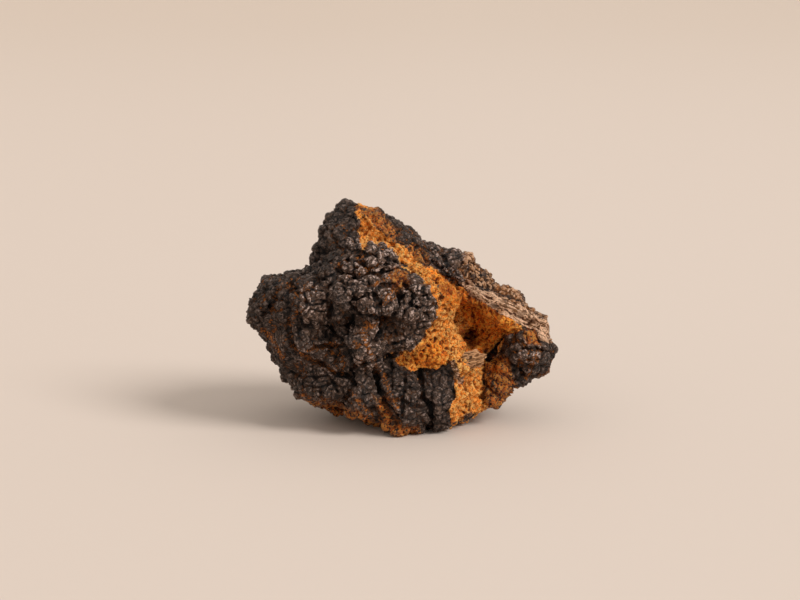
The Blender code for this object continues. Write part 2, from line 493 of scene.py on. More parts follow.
def mixed_bits(cells, salt):
    """A whole number of 30 bits for each row of whole-numbered cells, the same each time."""
    bits = (cells[:, 0] * 73856093) ^ (cells[:, 1] * 19349663) ^ (cells[:, 2] * 83492791) ^ (salt * 40503)
    bits = (bits & 0x7FFFFFFF) * 1103515245 + 12345
    bits = (bits ^ (bits >> 15)) & 0x7FFFFFFF
    bits = (bits * 69069 + 1) & 0x7FFFFFFF
    return (bits ^ (bits >> 13)) & 0x3FFFFFFF


def three_parts(bits):
    """Three numbers from -0.5 to 0.5 out of each 30 bits."""
    return np.stack([((bits >> shift) & 0x3FF) / 0x400 - 0.5 for shift in (0, 10, 20)], 1)


def cell_pattern(points, size, salt):
    """The cells round scattered centres, for each point.

    Returns the distances to the nearest two centres in cell sizes, a number from 0 to 1
    for the cell, and a height that slopes one way across it.
    """
    scaled = points / size
    home = np.floor(scaled).astype(np.int64)
    first = np.full(len(points), np.inf)
    second = np.full(len(points), np.inf)
    bits = np.zeros(len(points), np.int64)
    offset = np.zeros((len(points), 3))
    for step in itertools.product((-1, 0, 1), repeat=3):
        cell = home + np.array(step)
        cell_bits = mixed_bits(cell, salt)
        way = scaled - (cell + 0.5 + CENTRE_SCATTER * three_parts(cell_bits))
        away = np.sqrt((way**2).sum(1))
        closer = away < first
        second = np.where(closer, first, np.minimum(second, away))
        first = np.where(closer, away, first)
        bits = np.where(closer, cell_bits, bits)
        offset = np.where(closer[:, None], way, offset)
    other = (bits * 69069 + 12345) & 0x3FFFFFFF
    return first, second, (other >> 12) / 0x40000, 2 * (offset * three_parts(other)).sum(1)


def bead_pattern(points, size, salt, gap):
    """Rounded beads with narrow gaps, from 0 to 1, a number for each and the slope across it."""
    first, second, number, slope = cell_pattern(points, size, salt)
    dome = 1 - np.minimum(first / 0.85, 1) ** 2
    return dome * (0.6 + 0.4 * ramp(second - first, 0, gap)), number, slope


def soft_noise(points, size, salt):
    """Smooth noise from -1 to 1."""
    scaled = points / size
    home = np.floor(scaled).astype(np.int64)
    part = scaled - home
    part = part * part * (3 - 2 * part)
    total = np.zeros(len(points))
    for corner in itertools.product((0, 1), repeat=3):
        weight = np.ones(len(points))
        for axis in range(3):
            weight *= part[:, axis] if corner[axis] else 1 - part[:, axis]
        total += weight * (mixed_bits(home + np.array(corner), salt) & 0xFFFFF) / 0x100000
    return 2 * total - 1


def layered_noise(points, size, salt, layers=3):
    return sum(soft_noise(points, size / 2**i, salt + 11 * i) / 2**i for i in range(layers)) / 1.5


def noise_columns(points, size, salts, layers=3):
    return np.stack([layered_noise(points, size, salt, layers) for salt in salts], 1)


def warped(points, reach, size, salt):
    """The points pushed about by smooth noise."""
    return points + reach * noise_columns(points, size, (salt, salt + 30, salt + 60))


def ramp(values, low, high):
    """Rises smoothly from 0 at low to 1 at high."""
    part = np.clip((values - low) / (high - low), 0, 1)
    return part * part * (3 - 2 * part)


def falloff(away, width):
    """1 on a line, falling smoothly to nothing on both sides of it."""
    return np.exp(-((away / width) ** 2))


# The picture plane

def camera_frame():
    back = Vector((0, -math.cos(CAMERA_ELEVATION), math.sin(CAMERA_ELEVATION)))
    up = Vector((0, math.sin(CAMERA_ELEVATION), math.cos(CAMERA_ELEVATION)))
    return CAMERA_TARGET + back * CAMERA_DISTANCE, back, up


def to_picture(points):
    """Pixels across and down, and distance, of each point as the front camera sees it."""
    place, back, up = camera_frame()
    away = points - np.array(place)
    depth = -(away @ np.array(back))
    scale = LENS / SENSOR * PICTURE_WIDTH / depth
    across = PICTURE_WIDTH / 2 + away[:, 0] * scale
    down = PICTURE_HEIGHT / 2 - (away @ np.array(up)) * scale
    return np.stack([across, down], 1), depth


def stirred_pixels(points, reach, size, salts, layers=3):
    """Where the front camera sees each point, pushed about by up to about reach pixels."""
    return to_picture(points)[0] + reach * noise_columns(points, size, salts, layers)


def seen_in_front(points, normals):
    """How squarely each point faces the front camera, near zero just behind something and -1 far behind."""
    pixels, depth = to_picture(points)
    place, _, _ = camera_frame()
    toward = np.array(place) - points
    toward /= np.linalg.norm(toward, axis=1)[:, None]
    facing = (toward * normals).sum(1)
    cells = (pixels / DEPTH_CELL).astype(int)
    key = cells[:, 0] * PICTURE_HEIGHT + cells[:, 1]
    nearest = np.full(key.max() + 1, np.inf)
    np.minimum.at(nearest, key, depth)
    behind = depth - nearest[key]
    facing = np.where(behind > JUST_BEHIND, np.minimum(facing, BARELY_FACING), facing)
    return np.where(behind > FAR_BEHIND, -1, facing)


def line_distance(pixels, line):
    """Distance in pixels from each point to a line through the drawn points."""
    best = np.full(len(pixels), np.inf)
    for start, end in zip(line, line[1:]):
        start = np.array(start, float)
        run = np.array(end, float) - start
        along = np.clip(((pixels - start) @ run) / (run @ run), 0, 1)
        best = np.minimum(best, np.linalg.norm(pixels - start - along[:, None] * run, axis=1))
    return best


def zone_depth(pixels, outline):
    """Distance in pixels from each point to an outline, positive inside it."""
    away = line_distance(pixels, outline + outline[:1])
    inside = np.zeros(len(pixels), bool)
    for (ax, ay), (bx, by) in zip(outline, outline[1:] + outline[:1]):
        crosses = (ay > pixels[:, 1]) != (by > pixels[:, 1])
        if ay != by:
            at = ax + (pixels[:, 1] - ay) * (bx - ax) / (by - ay)
            inside ^= crosses & (pixels[:, 0] < at)
    return np.where(inside, away, -away)


def in_zones(pixels, outlines, soft):
    """1 inside any of the outlines and 0 outside, with a change soft pixels wide on both sides."""
    depth = np.max([zone_depth(pixels, outline) for outline in outlines], axis=0)
    return ramp(depth, -soft, soft)


def front_place(made, across, down):
    """Where the front camera's ray through a pixel meets an object."""
    place, back, up = camera_frame()
    scale = SENSOR / LENS / PICTURE_WIDTH
    aside = Vector((1, 0, 0)) * (across - PICTURE_WIDTH / 2) * scale
    way = -back + aside + up * (PICTURE_HEIGHT / 2 - down) * scale
    tree = BVHTree.FromObject(made, bpy.context.evaluated_depsgraph_get())
    found, _, _, _ = tree.ray_cast(place, way.normalized())
    if found is None:
        raise RuntimeError(f"nothing is seen at pixel {across}, {down}")
    return found


# Meshes

def points_of(mesh):
    points = np.empty(len(mesh.vertices) * 3, np.float32)
    mesh.vertices.foreach_get("co", points)
    return points.reshape(-1, 3).astype(float)


def normals_of(mesh):
    normals = np.empty(len(mesh.vertices) * 3, np.float32)
    mesh.vertex_normals.foreach_get("vector", normals)
    return normals.reshape(-1, 3).astype(float)


def edges_of(mesh):
    ends = np.empty(len(mesh.edges) * 2, np.int32)
    mesh.edges.foreach_get("vertices", ends)
    return ends.reshape(-1, 2)


def move_points(mesh, points):
    mesh.vertices.foreach_set("co", points.astype(np.float32).ravel())
    mesh.update()


def raise_skin(mesh, heights):
    move_points(mesh, points_of(mesh) + normals_of(mesh) * heights[:, None])


def store(mesh, name, values):
    attribute = mesh.attributes.new(name, "FLOAT", "POINT")
    attribute.data.foreach_set("value", np.clip(values, 0, 1).astype(np.float32))


def store_relief(mesh, name, rounds, full):
    """Stores 0.5 plus the share of a full height that each point stands out from the skin around it."""
    points = points_of(mesh)
    ends = edges_of(mesh)
    here, there = np.concatenate([ends, ends[:, ::-1]]).T
    count = np.bincount(here, minlength=len(points))
    level = points.copy()
    for _ in range(rounds):
        around = [np.bincount(here, level[there, axis], len(points)) / count for axis in range(3)]
        level = 0.4 * level + 0.6 * np.stack(around, 1)
    store(mesh, name, 0.5 + ((points - level) * normals_of(mesh)).sum(1) / full)


def spread_mask(mesh, mask, rounds):
    """The mask grown over the skin by that many edges."""
    ends = edges_of(mesh)
    for _ in range(rounds):
        grown = mask.copy()
        np.maximum.at(grown, ends[:, 0], mask[ends[:, 1]])
        np.maximum.at(grown, ends[:, 1], mask[ends[:, 0]])
        mask = grown
    return mask


def modify(made, kind, **values):
    """Applies one modifier to an object."""
    modifier = made.modifiers.new(kind.lower(), kind)
    for name, value in values.items():
        setattr(modifier, name, value)
    bpy.context.view_layer.update()
    mesh = bpy.data.meshes.new_from_object(made.evaluated_get(bpy.context.evaluated_depsgraph_get()))
    made.modifiers.clear()
    old = made.data
    made.data = mesh
    bpy.data.meshes.remove(old)


def remesh(made, size):
    modify(made, "REMESH", mode="VOXEL", voxel_size=size)


def remove_loose(made):
    """Splits a mesh in triangles and keeps the biggest part that edges between just two hold together."""
    shape = bmesh.new()
    shape.from_mesh(made.data)
    bmesh.ops.triangulate(shape, faces=shape.faces)
    left = set(shape.faces)
    parts = []
    while left:
        part = [left.pop()]
        for face in part:
            shared = [edge for edge in face.edges if len(edge.link_faces) == 2]
            joined = left.intersection(other for edge in shared for other in edge.link_faces)
            left -= joined
            part.extend(joined)
        parts.append(part)
    parts.sort(key=len)
    loose = [face for part in parts[:-1] for face in part]
    bmesh.ops.delete(shape, geom=loose, context="FACES")
    shape.to_mesh(made.data)
    shape.free()


def new_object(name, data):
    made = bpy.data.objects.new(name, data)
    bpy.context.scene.collection.objects.link(made)
    return made


def object_of(name, shape):
    """Makes an object of a bmesh, which it frees."""
    mesh = bpy.data.meshes.new(name)
    shape.to_mesh(mesh)
    shape.free()
    return new_object(name, mesh)


# The skin

def zone_masks(points, seen):
    """How much of each finish, of the painted light and shade, and of the split plates, there is at each
    point, from 0 to 1.
    """
    pixels = stirred_pixels(points, 4.5, 4 * MM, (301, 331), 4)
    facing = ramp(seen, -0.1, 0.1)
    hidden = 1 - ramp(seen, -0.1, 0.2)
    wood = in_zones(pixels, WOOD_ZONES, 1.5) * facing
    golden = in_zones(pixels, GOLDEN_ZONES, 2.0) * facing
    cork = np.maximum(in_zones(pixels, CORK_ZONES, 1.2) * facing, golden) * (1 - wood)
    patches = ramp(soft_noise(points, 24 * MM, 361), 0.15, 0.35)
    plates = np.maximum(in_zones(pixels, PLATE_ZONES, 3.0) * facing, patches * hidden)
    worn = in_zones(pixels, PAINTED_LIGHT_ZONES, 7.0) * facing
    rust = in_zones(pixels, RUSTY_ZONES, 6.0) * facing
    return {
        "cork": cork,
        "golden": in_zones(pixels, GOLDEN_ZONES, 7.0),
        "wood": wood,
        "brown": in_zones(pixels, BROWN_ZONES, 2.0) * facing,
        "slope": in_zones(pixels, SLOPE_ZONES, 2.0) * facing * (1 - wood),
        "plates": plates,
        # The lightened mask: painted light in those places in front, and a lesser lift on the back and on
        # the plates.
        "worn": np.max([worn, 0.5 * hidden, 0.35 * plates], axis=0),
        "shaded": in_zones(pixels, SHADED_ZONES, 3.0) * facing,
        "rust": np.maximum(rust, ramp(soft_noise(points, 17 * MM, 381), 0.1, 0.4)),
    }


def crack_field(points, seen):
    """Depth of the drawn cracks at each point, in metres, and how deep in a crack it is, from 0 to 1."""
    pixels = stirred_pixels(points, 1.6, 2.5 * MM, (201, 231))
    front = ramp(seen, 0.1, 0.35)
    depth = np.zeros(len(points))
    core = np.zeros(len(points))
    for line, half_width, deep in CRACKS:
        away = line_distance(pixels, line)
        narrow = falloff(away, 0.9 * half_width)
        wide = falloff(away, 4.5)
        depth = np.maximum(depth, deep * (1.15 * narrow + 0.32 * wide))
        core = np.maximum(core, falloff(away, 1.1 * half_width) * min(0.4 + deep / 2, 1))
    return depth * front * MM, core * front


def layer_field(points, seen):
    """Height of the drawn layers at each point."""
    pixels = stirred_pixels(points, 2.0, 5 * MM, (401, 431))
    front = ramp(seen, 0.05, 0.3)
    height = np.zeros(len(points))
    for outline, angle, spacing, rise in LAYERS:
        across = pixels @ np.array([-math.sin(math.radians(angle)), math.cos(math.radians(angle))])
        wave = np.mod(across / spacing + 0.35 * soft_noise(points, 4 * MM, 451), 1)
        step = ramp(wave, 0, 0.25) * (1 - ramp(wave, 0.45, 1))
        height += rise * (step - 0.4) * ramp(zone_depth(pixels, outline), 0, 3)
    return height * front * MM


def carve_blocks(mesh):
    """Splits the crust in blocks along the drawn cracks in front and along cells elsewhere."""
    points, normals = points_of(mesh), normals_of(mesh)
    seen = seen_in_front(points, normals)
    masks = zone_masks(points, seen)
    pixels, _ = to_picture(points)
    fills = [rise * in_zones(pixels, [outline], 6.0) for outline, rise in FILLED_ZONES]
    filled = np.max(fills, axis=0) * MM * ramp(seen, -0.2, 0.1)
    flesh = np.clip(masks["cork"] + masks["wood"], 0, 1)
    cracks, _ = crack_field(points, seen)
    hidden = 1 - ramp(seen, 0.05, 0.3)
    first, second, _, _ = cell_pattern(warped(points, 1.6 * MM, 6 * MM, 501), BLOCK_SIZE, 541)
    blocks = hidden * BLOCK_DEPTH * (1 - ramp(second - first, 0, 0.2))
    lip = LIP_HEIGHT * ramp(zone_depth(pixels, LIP_ZONE), -1, 1) * ramp(seen, 0, 0.2)
    lumps = 2.3 * soft_noise(points, 8 * MM, 581) + 1.6 * layered_noise(points, 4 * MM, 591)
    lumps = lumps * MM * masks["cork"]
    sunk = CORK_SINK * masks["cork"]
    heights = filled + lip + lumps - sunk - blocks * (1 - flesh) - cracks * (1 - 0.7 * flesh)
    raise_skin(mesh, heights + layer_field(points, seen))


class Survey:
    """Where each point of a skin lies, what it is made of, and where light and shade are painted on it."""

    def __init__(self, mesh):
        self.points = points_of(mesh)
        seen = seen_in_front(self.points, normals_of(mesh))
        self.masks = zone_masks(self.points, seen)
        spread = spread_mask(mesh, self.masks["cork"], CORK_REACH)
        hidden = 1 - ramp(seen, -0.1, 0.15)
        self.masks["cork"] = np.maximum(self.masks["cork"], spread * hidden * (1 - self.masks["wood"]))
        _, self.crack = crack_field(self.points, seen)
        pixels = stirred_pixels(self.points, 2.0, 2.5 * MM, (241, 261))
        away = np.min([line_distance(pixels, line) for line in RUST_VEINS], axis=0)
        self.vein = falloff(away, 2.7) * ramp(seen, 0, 0.2)
        self.crust = np.clip(1 - self.masks["cork"] - self.masks["wood"], 0, 1)


def carve_knobs(mesh, survey, settings):
    """Covers the crust with boulders of knobs, and splits its flat parts in plates."""
    points, plates = survey.points, survey.masks["plates"]
    bent = warped(points, 1.0 * MM, 3.5 * MM, 601)
    boulder, _, _ = bead_pattern(bent, settings.knob_size * 2.1, 621, 0.22)
    large, _, _ = bead_pattern(bent, settings.knob_size, 641, 0.24)
    small, _, _ = bead_pattern(bent, settings.knob_size * 0.6, 671, 0.26)
    share = ramp(soft_noise(points, 14 * MM, 691), -0.4, 0.1)
    knobs = settings.knob_height * (1.3 * boulder + 1.05 * large * share + small * 0.75 * (1 - share) - 1.2)
    bent = warped(points, 1.1 * MM, 3 * MM, 711)
    first, second, level, tilt = cell_pattern(bent, settings.plate_size, 741)
    near, far, _, _ = cell_pattern(bent, settings.plate_size * 0.5, 761)
    table = ramp(second - first, 0.02, 0.3)
    split = ramp(0.12 - (far - near), 0, 0.1)
    gap = np.maximum(ramp(0.08 - (second - first), 0, 0.06), 0.25 * split * level)
    survey.crack = np.maximum(survey.crack, 0.5 * gap * plates * survey.crust)
    plate = settings.knob_height * (0.26 * table + 0.12 * (level - 0.5) + 0.16 * tilt - 0.06 * split - 0.27)
    raise_skin(mesh, survey.crust * (knobs * (1 - plates) + plate * plates) - CRACK_SINK * survey.crack)


def carve_grains(mesh, survey, settings):
    """Covers the knobs with grains and facets, and roughens the cork and the wood."""
    points, masks = survey.points, survey.masks
    bent = warped(points, 0.4 * MM, 1.2 * MM, 701)
    grains, number, _ = bead_pattern(bent, settings.grain_size, 731, 0.35)
    _, _, level, facets = cell_pattern(bent, 1.8 * settings.grain_size, 761)
    fine = layered_noise(points, 1.2 * MM, 771, 2)
    rough = 1.2 * (grains - 0.6) * (0.3 + 0.9 * number) + 0.6 * facets + 0.3 * (level - 0.5)
    rough = settings.grain_height * rough
    smooth = settings.grain_height * (0.25 * facets + 0.5 * fine + 0.5 * (grains - 0.6) * number)
    height = survey.crust * (rough * (1 - masks["plates"]) + smooth * masks["plates"])

    bits, number, facets = bead_pattern(bent, CORK_GRAIN, 791, 0.3)
    pits = ramp(number, 0.2, 0.08) * bits * ramp(soft_noise(points, 5 * MM, 871), -0.2, 0.3)
    drawn = warped(points, 1.5 * MM, 5 * MM, 881) * np.array([1.0, 1.0, 0.35])
    threads = layered_noise(drawn, 1.1 * MM, 891, 2)
    cork = 0.55 * layered_noise(points, 2.4 * MM, 811, 3) + 0.6 * (number - 0.5) + 0.3 * bits + 0.3 * facets
    cork += 0.45 * threads - 1.1 * pits
    height += masks["cork"] * CORK_ROUGHNESS * cork

    strands = layered_noise(along_ledge(points) * np.array([0.3, 0.7, 1]), 1.3 * MM, 831)
    height += masks["wood"] * MM * (0.6 * strands + 0.35 * layered_noise(points, 1.4 * MM, 851))
    raise_skin(mesh, height)


def along_ledge(points):
    """The points turned so that the first axis runs along the ledge, which falls to the right."""
    turn = np.array(Matrix.Rotation(LEDGE_LEAN, 3, "Y"))
    return points @ turn


def flatten_foot(mesh):
    points = points_of(mesh)
    points[:, 2] = np.maximum(points[:, 2], 0)
    move_points(mesh, points)


def paint(mesh, survey):
    """Stores what each point of the finished skin is made of, where light and shade are painted on it, and
    where it stands out or lies deep.
    """
    for name in FINISHES_AND_PAINTED_LIGHT:
        store(mesh, name, survey.masks[name])
    store(mesh, "crack", survey.crack)
    store(mesh, "vein", survey.vein)
    for name, (rounds, full) in RELIEFS.items():
        store_relief(mesh, name, rounds, full)


def build_lump(settings):
    """Sculpts the skin over the solid's own mesh, from its blocks down to its grains."""
    shape = bmesh.new()
    shape.from_mesh(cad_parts[NODE].data)
    bmesh.ops.remove_doubles(shape, verts=shape.verts, dist=MERGE_DISTANCE)
    made = object_of("chaga_skin", shape)
    remesh(made, ROUGH_DETAIL)
    modify(made, "SMOOTH", iterations=SOFTENING, factor=0.5)
    remesh(made, BLOCK_DETAIL)
    carve_blocks(made.data)
    remesh(made, settings.skin_detail)
    survey = Survey(made.data)
    carve_knobs(made.data, survey, settings)
    carve_grains(made.data, survey, settings)
    flatten_foot(made.data)
    paint(made.data, survey)
    count = sum(len(face.vertices) - 2 for face in made.data.polygons)
    if count > settings.skin_triangles:
        modify(made, "DECIMATE", ratio=settings.skin_triangles / count)
    remove_loose(made)
    made.data.shade_smooth()
    return made


def build_chip(settings):
    """Makes the loose chip of fibres wedged at the foot of the hollow."""
    found = front_place(bpy.data.objects["chaga_skin"], *CHIP_PIXEL)
    shape = bmesh.new()
    bmesh.ops.create_icosphere(shape, subdivisions=CHIP_SUBDIVISIONS, radius=1.0)
    points = np.array([vertex.co for vertex in shape.verts])
    boxy = np.sign(points) * np.abs(points) ** CHIP_POWER * np.array(settings.chip_size) / 2
    along = boxy * np.array([0.22, 1, 1])
    rough = 0.8 * layered_noise(along, 1.1 * MM, 911, 3) + 0.7 * layered_noise(boxy, 2.2 * MM, 941, 3)
    boxy = boxy + points * (rough * CHIP_ROUGHNESS)[:, None]
    frayed = layered_noise(boxy * np.array([0, 1, 1]), 0.9 * MM, 971)
    boxy[:, 0] += CHIP_FRAY * frayed * np.abs(points[:, 0]) ** 2
    for vertex, place in zip(shape.verts, boxy):
        vertex.co = place
    turn = Matrix.Rotation(-CHIP_LEAN, 4, "Y") @ Matrix.Rotation(CHIP_TIP, 4, "X")
    shape.transform(Matrix.Translation(found + Vector(CHIP_SHIFT) * MM) @ turn)
    made = object_of("chaga_chip", shape)
    store_relief(made.data, "knob", *CHIP_RELIEF)
    made.data.shade_smooth()
    return made


# Materials

def new_material(name):
    material = bpy.data.materials.new(name)
    material.use_nodes = True
    tree = material.node_tree
    return material, tree, tree.nodes["Principled BSDF"]


def set_input(tree, socket, value):
    """Links a socket to the one that feeds it, or sets it to a plain value."""
    if isinstance(value, bpy.types.NodeSocket):
        tree.links.new(value, socket)
    else:
        socket.default_value = value


def place_node(tree):
    return tree.nodes.new("ShaderNodeTexCoord").outputs["Object"]


def attribute_node(tree, name):
    node = tree.nodes.new("ShaderNodeAttribute")
    node.attribute_name = name
    return node.outputs["Fac"]


def math_node(tree, operation, first, second):
    node = tree.nodes.new("ShaderNodeMath")
    node.operation = operation
    for socket, value in zip(node.inputs, (first, second)):
        set_input(tree, socket, value)
    return node.outputs["Value"]


def product(tree, first, *others):
    for other in others:
        first = math_node(tree, "MULTIPLY", first, other)
    return first


def vector_node(tree, operation, first, second, output="Vector"):
    node = tree.nodes.new("ShaderNodeVectorMath")
    node.operation = operation
    for socket, value in zip(node.inputs, (first, second)):
        set_input(tree, socket, value)
    return node.outputs[output]


def ramp_node(tree, value, low, high, out_low=0.0, out_high=1.0):
    node = tree.nodes.new("ShaderNodeMapRange")
    node.interpolation_type = "SMOOTHSTEP"
    for name, number in (("From Min", low), ("From Max", high), ("To Min", out_low), ("To Max", out_high)):
        node.inputs[name].default_value = number
    tree.links.new(value, node.inputs["Value"])
    return node.outputs["Result"]


def mix_node(tree, factor, first, second, blend="MIX"):
    node = tree.nodes.new("ShaderNodeMix")
    node.data_type = "RGBA"
    node.blend_type = blend
    for name, value in (("Factor", factor), ("A", first), ("B", second)):
        set_input(tree, node.inputs[name], value)
    return node.outputs["Result"]


def tinted(tree, colour, tint):
    return mix_node(tree, 1.0, colour, tint, "MULTIPLY")


def noise_node(tree, coordinates, scale, detail=4.0, roughness=0.6, output="Fac"):
    node = tree.nodes.new("ShaderNodeTexNoise")
    node.inputs["Scale"].default_value = scale
    node.inputs["Detail"].default_value = detail
    node.inputs["Roughness"].default_value = roughness
    tree.links.new(coordinates, node.inputs["Vector"])
    return node.outputs[output]


def cell_node(tree, coordinates, scale):
    """The tone, from 0 to 1, and the slope across each of the cells about 1 / scale metres wide."""
    node = tree.nodes.new("ShaderNodeTexVoronoi")
    node.inputs["Scale"].default_value = scale
    tree.links.new(coordinates, node.inputs["Vector"])
    way = vector_node(tree, "SUBTRACT", coordinates, node.outputs["Position"])
    turn = vector_node(tree, "SUBTRACT", node.outputs["Color"], HALVES)
    slope = vector_node(tree, "DOT_PRODUCT", way, turn, "Value")
    tone = tree.nodes.new("ShaderNodeSeparateColor")
    tree.links.new(node.outputs["Color"], tone.inputs["Color"])
    return tone.outputs["Red"], product(tree, slope, scale)


def stirred_node(tree, coordinates, scale, reach):
    """Coordinates pushed about by noise, by up to about half the reach."""
    noise = noise_node(tree, coordinates, scale, detail=2.0, roughness=0.5, output="Color")
    push = vector_node(tree, "SUBTRACT", noise, HALVES)
    return vector_node(tree, "ADD", coordinates, vector_node(tree, "MULTIPLY", push, (reach, reach, reach)))


def strand_node(tree, coordinates, lean, stretch):
    """Coordinates drawn out along fibres that lean from the horizontal, to the right and down."""
    node = tree.nodes.new("ShaderNodeMapping")
    node.vector_type = "TEXTURE"
    node.inputs["Rotation"].default_value = (0.0, lean, 0.0)
    node.inputs["Scale"].default_value = (stretch, 1.0, 1.0)
    tree.links.new(coordinates, node.inputs["Vector"])
    return node.outputs["Vector"]


def shade(colour, times=1.0):
    return tuple(channel * times for channel in colour) + (1.0,)


def grey(level):
    return (level, level, level, 1.0)


def set_surface(tree, principled, colour, roughness, specular):
    set_input(tree, principled.inputs["Base Color"], colour)
    set_input(tree, principled.inputs["Roughness"], roughness)
    principled.inputs["Specular IOR Level"].default_value = specular


def add_bump(tree, principled, height, strength, distance):
    bump = tree.nodes.new("ShaderNodeBump")
    bump.inputs["Strength"].default_value = strength
    bump.inputs["Distance"].default_value = distance
    tree.links.new(height, bump.inputs["Height"])
    tree.links.new(bump.outputs["Normal"], principled.inputs["Normal"])


def skin_parts(tree):
    """What the skin's colours are mixed by: its stored finishes, painted light and shade and reliefs, noise
    and small cells.
    """
    place = place_node(tree)
    parts = {name: attribute_node(tree, name) for name in (*FINISHES_AND_PAINTED_LIGHT, "crack", "vein", *RELIEFS)}
    parts["place"] = place
    stirred = stirred_node(tree, place, STIR_SCALE, STIR_REACH)
    parts["tone"], parts["facets"] = cell_node(tree, stirred, CELL_SCALE)
    parts["small_tone"], parts["small_facets"] = cell_node(tree, stirred, SMALL_CELL_SCALE)
    for name, scale in NOISE_SCALES.items():
        parts[name] = noise_node(tree, place, scale)
    return parts


def crust_colour(tree, settings, parts):
    """The crust's colour: brown-black, its knobs' tops and the lightened places painted lighter as painted
    light, painted glints, painted shade near black in its hollows, and rust in the folds.
    """
    knob, fold, worn = parts["knob"], parts["fold"], parts["worn"]
    fine, small_tone = parts["fine"], parts["small_tone"]
    black = shade(settings.crevice_shade_colour)

    tone = ramp_node(tree, parts["tone"], 0.1, 0.9)
    colour = mix_node(tree, tone, shade(settings.crust_colour, 0.16), shade(settings.crust_colour, 0.5))
    # Painted light: the knobs' tops are painted lighter, as if lit.
    knob_top = ramp_node(tree, knob, 0.38, 0.9)
    grain = ramp_node(tree, fine, 0.42, 0.6, 0.15, 1.0)
    top = product(tree, knob_top, grain, ramp_node(tree, fold, 0.35, 0.65))
    colour = mix_node(tree, top, colour, shade(settings.crust_colour))
    # Painted glints: the palest specks, on raised folds and most in the lightened places.
    pale = product(tree, ramp_node(tree, small_tone, 0.66, 0.86), ramp_node(tree, fold, 0.45, 0.75))
    pale = product(tree, pale, ramp_node(tree, worn, 0.0, 1.0, 0.55, 1.0))
    colour = mix_node(tree, pale, colour, shade(settings.glint_colour))
    # Painted shade darkens the crust outside the lightened places, and painted light brightens them.
    colour = mix_node(tree, ramp_node(tree, worn, 0.0, 1.0, 0.35, 0.0), colour, black)
    colour = mix_node(tree, worn, colour, tinted(tree, colour, grey(1.6)))
    speckle = mix_node(tree, ramp_node(tree, small_tone, 0.05, 0.95), grey(0.55), grey(1.5))
    colour = tinted(tree, colour, speckle)
    # Painted shade: near black between the knobs and in the folds.
    hollow = math_node(tree, "MAXIMUM", ramp_node(tree, knob, 0.4, 0.18), ramp_node(tree, fold, 0.43, 0.2))
    colour = mix_node(tree, hollow, colour, black)

    low = product(tree, ramp_node(tree, fold, 0.5, 0.32), ramp_node(tree, parts["medium"], 0.44, 0.56))
    rust = product(tree, low, ramp_node(tree, parts["rust"], 0.0, 1.0, 0.25, 1.0))
    rust = product(tree, rust, ramp_node(tree, small_tone, 0.2, 0.6))
    spots = product(tree, rust, ramp_node(tree, parts["broad"], 0.46, 0.58))
    colour = mix_node(tree, product(tree, rust, 0.8), colour, shade(settings.rust_colour, 0.3))
    colour = mix_node(tree, spots, colour, shade(settings.rust_colour))

    vein = product(tree, parts["vein"], ramp_node(tree, fine, 0.42, 0.56), ramp_node(tree, knob, 0.72, 0.5))
    tone = ramp_node(tree, small_tone, 0.3, 0.8)
    warm = mix_node(tree, tone, shade(settings.rust_colour, 0.35), shade(settings.rust_colour, 1.2))
    return mix_node(tree, ramp_node(tree, vein, 0.05, 0.5), colour, warm)


def cork_colour(tree, settings, parts):
    """The cork's colour: orange grains with pale ones, partly painted highlight, and dark pits, partly
    painted shade, among them.
    """
    knob, medium, broad = parts["knob"], parts["medium"], parts["broad"]
    dark = shade(settings.pit_colour)

    tone = ramp_node(tree, parts["tone"], 0.15, 0.85)
    colour = mix_node(tree, tone, shade(settings.cork_colour, 0.5), shade(settings.cork_colour, 1.15))
    # Pale grains on the raised bits: partly the cork's own, partly a painted highlight.
    pale = product(tree, ramp_node(tree, parts["small_tone"], 0.3, 0.6), ramp_node(tree, knob, 0.34, 0.6))
    colour = mix_node(tree, pale, colour, shade(settings.pale_cork_colour))
    # Painted shade in the cork's low spots, with dark pores among them.
    pores = ramp_node(tree, parts["fine"], 0.43, 0.35)
    pits = math_node(tree, "MAXIMUM", ramp_node(tree, knob, 0.36, 0.02), pores)
    pits = product(tree, pits, ramp_node(tree, broad, 0.4, 0.6, 0.45, 0.95))
    colour = mix_node(tree, pits, colour, dark)
    burnt = mix_node(tree, ramp_node(tree, medium, 0.3, 0.46), BURNT_TINT, GOLDEN_TINT)
    colour = mix_node(tree, parts["golden"], colour, tinted(tree, colour, burnt))
    blotch = product(tree, ramp_node(tree, broad, 0.54, 0.64), ramp_node(tree, medium, 0.44, 0.54), 0.6)
    return mix_node(tree, blotch, colour, dark)


def wood_colour(tree, settings, parts):
    """The fibrous ledge's colour: pale strands with brown between them, and painted shade in its low spots.
    """
    along = strand_node(tree, parts["place"], LEDGE_LEAN, stretch=4.0)
    strands = noise_node(tree, along, LEDGE_STRAND_SCALE, detail=3.0)
    pale = ramp_node(tree, strands, 0.38, 0.56)
    colour = mix_node(tree, pale, shade(settings.umber_colour, 0.5), shade(settings.wood_colour, 1.2))
    # Painted shade in the ledge's low spots.
    low = ramp_node(tree, parts["knob"], 0.46, 0.2)
    colour = mix_node(tree, low, colour, shade(settings.pit_colour, 0.6))
    dull = ramp_node(tree, parts["medium"], 0.5, 0.62, 0.0, 0.6)
    colour = mix_node(tree, dull, colour, shade(settings.wood_colour, 0.4))
    specks = ramp_node(tree, parts["small_tone"], 0.28, 0.12)
    specks = product(tree, specks, ramp_node(tree, parts["broad"], 0.4, 0.55))
    return mix_node(tree, specks, colour, shade(settings.umber_colour, 0.3))


